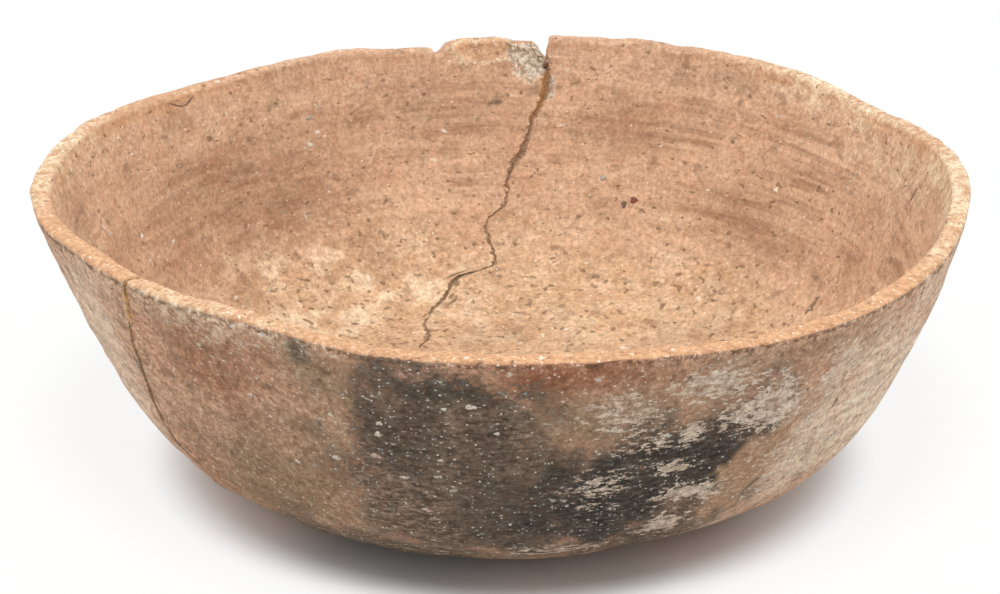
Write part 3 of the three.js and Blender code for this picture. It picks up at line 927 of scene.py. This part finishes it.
coarse_white = clay.plus(clay.times(outer_field, 0.034), clay.times(clay.field("edge_grit"), 0.15),
                         clay.times(core_seen, 0.25), clay.times(charred, 0.02), 0.012)
coarse_grains = clay.specks(clay.stretched(COARSE_SCALE), 0.40, sand, coarse_white)
chaff = clay.noise(1.0, 1.0, 0.5, clay.stretched(PIT_SCALE))
pit_noise = clay.plus(chaff, clay.times(sand, 0.2), -0.10)
pit_limit = clay.plus(0.685, clay.times(clay.field("rubbed"), -0.05), clay.times(outer_field, 0.01))
pits = clay.mask(clay.math("SUBTRACT", pit_noise, pit_limit), -0.02, 0.07)
stained = clay.mask(clay.plus(clay.field("stain"), clay.times(ragged, 0.5)), 0.22, 0.52)
clay.coat(STAIN_BROWN, stained, 0.8)
clay.coat(PIT_BROWN, pits, clay.mask(scratchy, 0.2, 0.6), 0.8)
clay.coat(GRAIN_WHITE, clay.math("MAXIMUM", fine_grains, coarse_grains))
print("clay nodes so far:", len(clay.tree.nodes))

# %% [markdown]
# ## What fills the cracks
# A crack shows as the dirt that settled in it: dark at the sides, tan where it is packed, and amber
# near the lip, where old glue was rubbed in. The line is drawn where the distance across is less than
# half the gap. Noise shifts the line and changes the gap, so that it breaks round grains.

# %% Dirt and old glue in the cracks
DIRT_DARK = colour(0.20, 0.11, 0.06)
DIRT_TAN = colour(0.42, 0.29, 0.185)
GLUE_BROWN = colour(0.38, 0.18, 0.055)

jitter = clay.plus(clay.times(sand, 2.8), clay.times(mottle, 4.6), -3.7)
off_line = clay.math("ABSOLUTE", clay.plus(clay.field("across"), jitter))
gap_unrest = clay.plus(clay.times(clay.mask(scratchy, 0.32, 0.68), 1.3), 0.75)
ragged_gap = clay.times(clay.field("gap"), gap_unrest)
crack_line = clay.mask(clay.math("SUBTRACT", ragged_gap, off_line), -0.18, 0.12)
filling = clay.over(DIRT_DARK, DIRT_TAN, clay.mask(scratchy, 0.46, 0.64))
glued = clay.times(clay.field("amber"), clay.mask(mottle, 0.56, 0.44))
filling = clay.over(filling, GLUE_BROWN, glued)
clay.coat(filling, crack_line, 0.92)
print("clay nodes so far:", len(clay.tree.nodes))

# %% [markdown]
# ## Roughness and relief
# Fired clay without a glaze is matt. The sandy grain and the pits are too fine for the grid, so they
# are a bump of a few tenths of a millimetre.

# %% Finish of the clay
RELIEF, RELIEF_STRENGTH = 0.5 * MM, 0.6
ROUGH_LOW, ROUGH_HIGH = 0.80, 0.98
CLAY_SHINE = 0.25

relief = clay.plus(clay.times(sand, 0.7), clay.times(mottle, 0.7), clay.times(pits, -0.5))
bump = clay.node("ShaderNodeBump")
bump.inputs["Strength"].default_value = RELIEF_STRENGTH
bump.inputs["Distance"].default_value = RELIEF
clay.feed(bump.inputs["Height"], relief)
clay.feed(clay.shader.inputs["Normal"], bump.outputs["Normal"])
clay.feed(clay.shader.inputs["Base Color"], clay.top)
rough = clay.node("ShaderNodeMapRange")
clay.feed(rough.inputs["Value"], mottle)
rough.inputs["To Min"].default_value = ROUGH_LOW
rough.inputs["To Max"].default_value = ROUGH_HIGH
clay.feed(clay.shader.inputs["Roughness"], rough.outputs["Result"])
clay.shader.inputs["Specular IOR Level"].default_value = CLAY_SHINE
bowl_mesh.materials.append(clay.material)
print("clay has", len(clay.tree.nodes), "nodes")

# %% [markdown]
# ## Glue and a rootlet
# Someone once mended the left crack, and amber glue still stands in it. High on the left of the inside
# a hair-thin dark rootlet clings to the wall. Both are beads: a flat oval section carried along a line on
# the wall, tapering to nothing at both ends.

# %% Beads along a line on the wall
BEAD_ACROSS, BEAD_ALONG = 10, 40
BEAD_RISE = 0.2 * MM
WALL_STEP = 0.5 * MM


def wall_place(wall, length, below, turn, proud):
    """Points on a dented wall by distance below the lip and angle, set out of the clay along its normal."""
    radius, height = along_wall(wall, length - below)
    proud = proud + dents_at(on_bowl(radius, height, turn), below)
    ahead = along_wall(wall, length - below + WALL_STEP)
    behind = along_wall(wall, length - below - WALL_STEP)
    lean_r, lean_z = ahead[0] - behind[0], ahead[1] - behind[1]
    size = np.hypot(lean_r, lean_z)
    out = 1.0 if wall is outer_wall else -1.0
    return on_bowl(radius + out * proud * lean_z / size, height - out * proud * lean_r / size, turn)


def bead(name, wall, length, below, turn, widths):
    """Closed bead along a line of distances below the lip and angles. Its half width follows the given
    widths, times a taper that is a low power of a sine, and its rise over the wall follows its width."""
    share = np.linspace(0, 1, BEAD_ALONG)[:, None]
    taper = np.clip(np.sin(math.pi * share), 0, None) ** 0.4
    half = 0.5 * np.interp(share, np.linspace(0, 1, len(widths)), widths) * MM * taper
    around = np.linspace(0, 2 * math.pi, BEAD_ACROSS, endpoint=False)[None, :]
    radius = along_wall(wall, length - below[:, None])[0]
    turns = turn[:, None] + half * np.cos(around) / radius
    rise = (BEAD_RISE + 0.5 * half) * np.sin(around) * taper
    points = wall_place(wall, length, below[:, None] + 0 * turns, turns, rise)
    points = points[:, ::-1] if wall is inner_wall else points
    return closed_grid_mesh(name, points, points[0].mean(axis=0), points[-1].mean(axis=0))


print("a bead has", BEAD_ACROSS * BEAD_ALONG, "points")

# %% [markdown]
# The glue was pressed into the crack from outside and set hard, so it is the one glossy thing here. It
# follows the route of the left crack down from the lip and is widest halfway.

# %% Glue in the left crack: where it starts and ends below the lip, and its widths in mm
GLUE_START, GLUE_END = 0.8 * MM, 16 * MM
GLUE_WIDTHS = (1.1, 1.8, 2.3, 2.1, 1.0)
GLUE_GOLD, GLUE_DARK = colour(0.74, 0.39, 0.10), colour(0.36, 0.16, 0.045)
GLUE_SCALE, GLUE_ROUGH, GLUE_COAT = 420, 0.32, 0.3

glue = Recipe("amber_glue")
glue_colour = glue.over(GLUE_GOLD, GLUE_DARK, glue.mask(glue.noise(GLUE_SCALE, 3), 0.45, 0.68))
glue.feed(glue.shader.inputs["Base Color"], glue_colour)
glue.shader.inputs["Roughness"].default_value = GLUE_ROUGH
glue.shader.inputs["Coat Weight"].default_value = GLUE_COAT
glue_line = np.linspace(GLUE_START, GLUE_END, BEAD_ALONG)
glue_turn = crack_turn(LEFT_CRACK, glue_line)
glue_mesh = bead("left_glue", outer_wall, OUTER_LENGTH, glue_line, glue_turn, GLUE_WIDTHS)
left_glue = add_piece("left_glue", glue_mesh, glue.material)
print("glue bead:", len(left_glue.data.polygons), "faces")

# %% [markdown]
# The rootlet grew against the wall while the bowl lay in the ground, and dried there. Its line dips
# and turns back, so it is given by points in their order, and not by the distance below the lip.

# %% Rootlet: angle in degrees and distance below the lip in mm
ROOTLET = np.array([[148.6, 0.2], [147.5, 0.8], [146.5, 2.0], [145.5, 2.8], [144.6, 2.6], [143.8, 1.9],
                    [143.1, 1.0], [143.1, 0.4], [143.7, 0.2]])
ROOTLET_WIDTHS = (1.2, 0.8, 0.8, 0.8, 0.7, 0.6, 0.5)
ROOT_BLACK, ROOT_BROWN = colour(0.05, 0.045, 0.045), colour(0.10, 0.075, 0.06)
ROOT_SCALE, ROOT_ROUGH = 600, 0.75

root = Recipe("dry_root")
root_colour = root.over(ROOT_BLACK, ROOT_BROWN, root.noise(ROOT_SCALE, 3))
root.feed(root.shader.inputs["Base Color"], root_colour)
root.shader.inputs["Roughness"].default_value = ROOT_ROUGH
share_along = np.linspace(0, len(ROOTLET) - 1, BEAD_ALONG)
root_turn, root_below = (np.interp(share_along, np.arange(len(ROOTLET)), ROOTLET[:, k]) for k in (0, 1))
root_mesh = bead("rootlet", inner_wall, INNER_LENGTH, root_below * MM, np.radians(root_turn), ROOTLET_WIDTHS)
rootlet = add_piece("rootlet", root_mesh, root.material)
print("rootlet:", len(rootlet.data.polygons), "faces")

# %% [markdown]
# ## Single grains
# The largest grains of crushed rock stand a little out of the wall. Each is a small lumpy ball, sunk
# more than halfway into the clay. One grid of angles makes all of them at once, and a colour on every vertex
# tells white rock from grey and red.

# %% Grains: angle, distance below the lip, half length and half height in mm, colour
WHITE_ROCK, GREY_ROCK = (0.80, 0.72, 0.61), (0.46, 0.42, 0.37)
RED_ROCK, DARK_ROCK, PINK_ROCK = (0.24, 0.075, 0.05), (0.17, 0.115, 0.09), (0.72, 0.50, 0.40)
INNER_GRAINS = (
    (68.0, 52.8, 1.5, 1.3, RED_ROCK), (69.6, 54.8, 1.0, 1.5, DARK_ROCK),
    (73.8, 46.5, 1.2, 1.2, GREY_ROCK), (122.0, 24.5, 1.1, 0.8, WHITE_ROCK),
    (123.8, 28.4, 1.3, 1.1, WHITE_ROCK), (123.0, 18.8, 1.6, 0.9, GREY_ROCK),
    (120.8, 26.4, 0.9, 0.6, WHITE_ROCK), (173.8, 25.2, 0.6, 1.2, WHITE_ROCK),
    (173.0, 28.2, 0.6, 0.8, WHITE_ROCK), (157.6, 43.5, 0.9, 0.8, WHITE_ROCK),
    (158.8, 12.0, 0.8, 0.7, WHITE_ROCK), (160.6, 5.2, 0.8, 0.8, WHITE_ROCK),
)
OUTER_GRAINS = (
    (265.8, 14.2, 1.8, 0.9, WHITE_ROCK), (254.8, 27.2, 1.0, 1.1, WHITE_ROCK),
    (257.2, 43.5, 1.4, 0.8, WHITE_ROCK), (263.2, 47.5, 1.1, 0.8, GREY_ROCK),
    (254.0, 36.0, 1.8, 0.9, PINK_ROCK), (248.6, 40.2, 1.3, 0.8, WHITE_ROCK),
    (255.2, 23.0, 0.9, 0.8, WHITE_ROCK), (262.8, 15.5, 0.9, 0.7, WHITE_ROCK),
    (262.0, 34.5, 1.0, 0.6, WHITE_ROCK), (249.0, 24.2, 0.8, 0.6, WHITE_ROCK),
    (238.0, 25.8, 0.8, 0.7, WHITE_ROCK), (232.2, 12.2, 0.9, 0.6, WHITE_ROCK),
    (228.0, 7.2, 1.0, 0.8, WHITE_ROCK), (259.6, 57.5, 1.1, 0.7, PINK_ROCK),
    (268.6, 23.8, 0.9, 0.6, WHITE_ROCK),
)
GRAIN_RINGS, GRAIN_TURNS = 7, 10
SUNK_SHARE = 0.15


def grain_balls(grains, wall, length):
    """Balls on a wall, for angles a round and b up each ball: half length times cos b cos a along the
    wall, half height times cos b sin a up it, and out of it the smaller of the two times half of sin b
    less the sunk share. Two sines of 3a and 5a make them lumpy."""
    sizes = np.array([grain[:4] for grain in grains]).T[..., None, None]
    angle, below, wide, high = sizes[0], sizes[1] * MM, sizes[2] * MM, sizes[3] * MM
    a = np.linspace(0, 2 * math.pi, GRAIN_TURNS, endpoint=False)[None, None, :]
    b = np.linspace(-0.5, 0.5, GRAIN_RINGS + 2)[None, :, None] * math.pi
    lumpy = 1 + 0.22 * np.sin(3 * a + angle) * np.cos(b) + 0.12 * np.sin(5 * a + 2 * angle)
    radius = along_wall(wall, length - below)[0]
    turn = np.radians(angle) + wide * lumpy * np.cos(b) * np.cos(a) / radius
    down = below - high * lumpy * np.cos(b) * np.sin(a)
    out = np.minimum(wide, high) * (0.5 * np.sin(b) - SUNK_SHARE) + 0 * a
    balls = wall_place(wall, length, down, turn, out)
    return balls[:, :, ::-1] if wall is inner_wall else balls


balls = np.concatenate([grain_balls(INNER_GRAINS, inner_wall, INNER_LENGTH),
                        grain_balls(OUTER_GRAINS, outer_wall, OUTER_LENGTH)])
poles = balls[:, [0, -1]].mean(axis=2)
ball_points = np.concatenate([balls[:, 1:-1].reshape(len(balls), -1, 3), poles], axis=1)
ball_size = ball_points.shape[1]
ball_starts = range(0, len(balls) * ball_size, ball_size)
ball_faces = [face for start in ball_starts for face in grid_faces(GRAIN_RINGS, GRAIN_TURNS, start)]
grain_mesh = bpy.data.meshes.new("rock_grains")
grain_mesh.from_pydata(ball_points.reshape(-1, 3), [], ball_faces)
grain_mesh.shade_smooth()
grain_colours = np.array([(*grain[4], 1.0) for grain in INNER_GRAINS + OUTER_GRAINS])
rock_layer = grain_mesh.attributes.new("rock", "FLOAT_COLOR", "POINT")
point_colours = np.repeat(grain_colours, ball_size, axis=0)
rock_layer.data.foreach_set("color", point_colours.astype(np.float32).ravel())
print("grains:", len(balls), "with", len(grain_mesh.polygons), "faces")

# %% [markdown]
# Crushed rock is dull and a little uneven in tone, so a fine noise shades each grain's own colour.

# %% Finish of the grains
ROCK_SHADED, ROCK_BRIGHT = colour(0.6, 0.56, 0.52), colour(1.15, 1.15, 1.15)
ROCK_SCALE, ROCK_ROUGH = 1500, 0.7

rock = Recipe("crushed_rock")
rock_seen = rock.node("ShaderNodeAttribute", attribute_name="rock").outputs["Color"]
rock_shade = rock.over(ROCK_SHADED, ROCK_BRIGHT, rock.mask(rock.noise(ROCK_SCALE, 3), 0.35, 0.6))
rock.feed(rock.shader.inputs["Base Color"], rock.over(rock_seen, rock_shade, 1.0, "MULTIPLY"))
rock.shader.inputs["Roughness"].default_value = ROCK_ROUGH
rock_grains = add_piece("rock_grains", grain_mesh, rock.material)
print("piece:", rock_grains.name, "with", len(rock.tree.nodes), "nodes")

# %% [markdown]
# ## The floor
# The bowl stands on a sheet of white paper. Rays that show the paper see it white, and rays that only
# carry its light see it greyer, so that it doesn't flood the bowl from below. The photograph is burnt
# out to white a little way from the foot, so there most of the seen colour is a plain white glow of
# strength 1. Nearer the foot the paper keeps the bowl's shadow, and a faint one further out.

# %% Floor
FLOOR_SIZE = 4.0
FLOOR_DROP = 0.05 * MM
PAPER_SEEN, PAPER_LIGHTING = colour(0.99, 0.99, 0.99), colour(0.60, 0.60, 0.60)
BURNT_OUT, WHITE = colour(0, 0, 0), colour(1, 1, 1)
# Distance from the axis where the shadow is full and where the glow is full, and the glow's share
SHADOW_REACH, GLOW_REACH, GLOW_SHARE = 96 * MM, 118 * MM, 0.85


def seen_rays(tree):
    """1 for rays from the camera and for what gloss or glass shows, 0 for rays that only light."""
    path = tree.nodes.new("ShaderNodeLightPath")
    total = path.outputs["Is Camera Ray"]
    for kind in ("Is Glossy Ray", "Is Transmission Ray"):
        add = tree.nodes.new("ShaderNodeMath")
        add.operation, add.use_clamp = "ADD", True
        tree.links.new(total, add.inputs[0])
        tree.links.new(path.outputs[kind], add.inputs[1])
        total = add.outputs[0]
    return total


corners = FLOOR_SIZE * np.array([[-1, -1, 0], [1, -1, 0], [1, 1, 0], [-1, 1, 0]]) - [0, 0, FLOOR_DROP]
floor_mesh = bpy.data.meshes.new("floor")
floor_mesh.from_pydata(corners.tolist(), [], [(0, 1, 2, 3)])
floor = bpy.data.objects.new("floor", floor_mesh)
bpy.context.scene.collection.objects.link(floor)

paper = Recipe("white_paper")
from_axis = paper.node("ShaderNodeVectorMath", operation="LENGTH")
paper.feed(from_axis.inputs[0], paper.place)
paper_seen = seen_rays(paper.tree)
away_from_foot = paper.mask(from_axis.outputs["Value"], SHADOW_REACH, GLOW_REACH)
glow = paper.times(away_from_foot, paper_seen, GLOW_SHARE)
lit_paper = paper.over(PAPER_SEEN, BURNT_OUT, glow)
paper.feed(paper.shader.inputs["Base Color"], paper.over(PAPER_LIGHTING, lit_paper, paper_seen))
paper.feed(paper.shader.inputs["Emission Color"], WHITE)
paper.feed(paper.shader.inputs["Emission Strength"], glow)
paper.shader.inputs["Roughness"].default_value = 1.0
paper.shader.inputs["Specular IOR Level"].default_value = 0.0
floor_mesh.materials.append(paper.material)
print("floor", 2 * FLOOR_SIZE, "m wide, with", len(paper.tree.nodes), "nodes")

# %% [markdown]
# ## The lamps
# The light is that of a tent of white cloth. One soft box hangs high over the front, and a weaker one
# stands at each side. They are square and wide, so that the shadow under the bowl has a soft edge.

# %% Lamps: name, place in metres, width in metres, power in watts
LAMPS = (
    ("overhead", (0.0, -0.82, 2.05), 0.6, 25.0),
    ("left_box", (-1.5, 0.1, 1.25), 0.9, 7.0),
    ("right_box", (1.5, 0.1, 1.25), 0.9, 7.0),
)
BOWL_MIDDLE = (0, 0, 0.04)


def soft_lamp(name, place, size, power):
    """A square soft box at a place, facing the middle of the bowl: tilted by the angle between up and
    the way back to the lamp, and turned by that way's angle on the ground."""
    data = bpy.data.lights.new(name, "AREA")
    data.shape = "SQUARE"
    data.size = size
    data.energy = power
    lamp = bpy.data.objects.new(name, data)
    bpy.context.scene.collection.objects.link(lamp)
    lamp.location = place
    away = np.array(place) - np.array(BOWL_MIDDLE)
    tilt = math.atan2(math.hypot(away[0], away[1]), away[2])
    lamp.rotation_euler = (tilt, 0.0, math.atan2(away[0], -away[1]))


for lamp_settings in LAMPS:
    soft_lamp(*lamp_settings)
print("lamps:", ", ".join(lamp_settings[0] for lamp_settings in LAMPS))

# %% [markdown]
# ## The sky
# The rest of the tent is an even white sky, which keeps the shadows open. Rays that show the sky meet
# a strength of 1, which is white, and rays that only light find it weaker.

# %% Sky
SKY_LIGHTING, SKY_SEEN = 0.45, 1.0

world = bpy.data.worlds.new("studio")
bpy.context.scene.world = world
world.use_nodes = True
sky = world.node_tree.nodes["Background"]
sky.inputs["Color"].default_value = WHITE
sky_level = world.node_tree.nodes.new("ShaderNodeMapRange")
sky_level.inputs["To Min"].default_value = SKY_LIGHTING
sky_level.inputs["To Max"].default_value = SKY_SEEN
world.node_tree.links.new(seen_rays(world.node_tree), sky_level.inputs["Value"])
world.node_tree.links.new(sky_level.outputs["Result"], sky.inputs["Strength"])
bpy.context.scene.view_settings.view_transform = "Standard"
print("sky lights with", SKY_LIGHTING, "and is seen at", SKY_SEEN)
